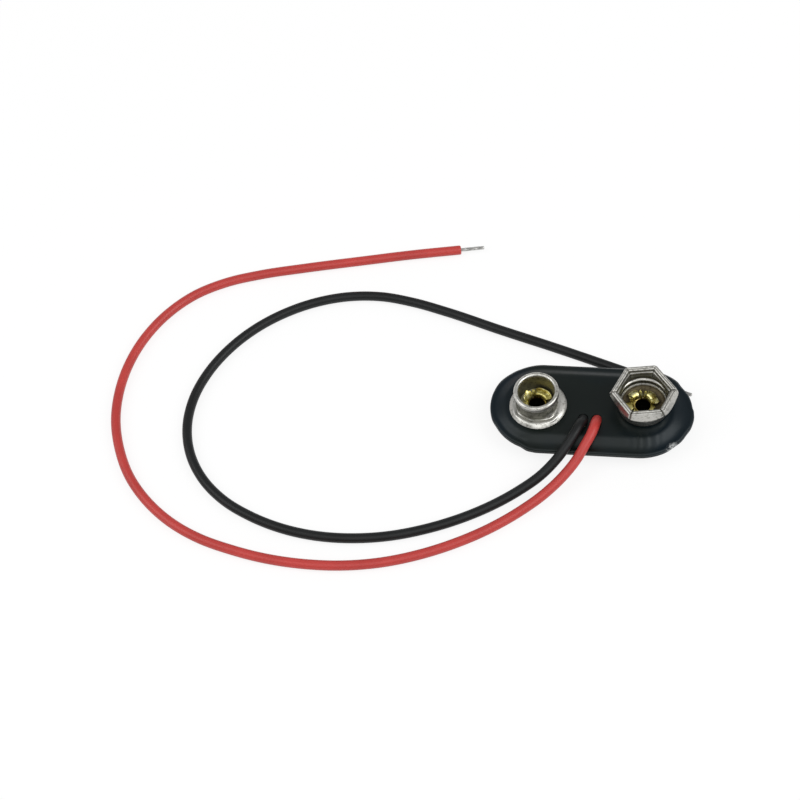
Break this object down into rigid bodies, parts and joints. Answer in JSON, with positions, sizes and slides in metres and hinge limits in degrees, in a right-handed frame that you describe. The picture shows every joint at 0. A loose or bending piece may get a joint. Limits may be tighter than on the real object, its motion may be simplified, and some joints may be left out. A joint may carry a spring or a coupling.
{
  "type": "battery snap",
  "caption": "Battery snap: a round stud contact and a hexagonal socket contact on a soft black cover, with a red and a black lead that end in bare wire.",
  "frame": {"origin": "middle of the cover, at the surface that the back of the cover lies on", "axes": "+X along the cover from the stud contact to the socket contact, +Y to the long edge away from the leads' mouth, +Z the way the contacts point"},
  "size_m": [0.0716, 0.0483, 0.0064],
  "materials": {
    "black_vinyl": "soft glossy black vinyl sheet",
    "fibre_board": "pressed fibre board",
    "nickel_plate": "bright nickel plate",
    "eyelet_brass": "bright bare brass",
    "red_insulation": "satin red wire insulation",
    "black_insulation": "satin black wire insulation",
    "tinned_copper": "tinned copper strand"
  },
  "bodies": {
    "root": {"front_cover": "black_vinyl", "back_cover": "black_vinyl", "insulator_board": "fibre_board", "stud_contact": "nickel_plate", "socket_contact": "nickel_plate", "stud_eyelet": "eyelet_brass", "socket_eyelet": "eyelet_brass", "red_lead": "red_insulation", "black_lead": "black_insulation", "red_tip": "tinned_copper", "black_tip": "tinned_copper", "red_strand": "tinned_copper", "black_strand": "tinned_copper"}
  },
  "joints": []
}
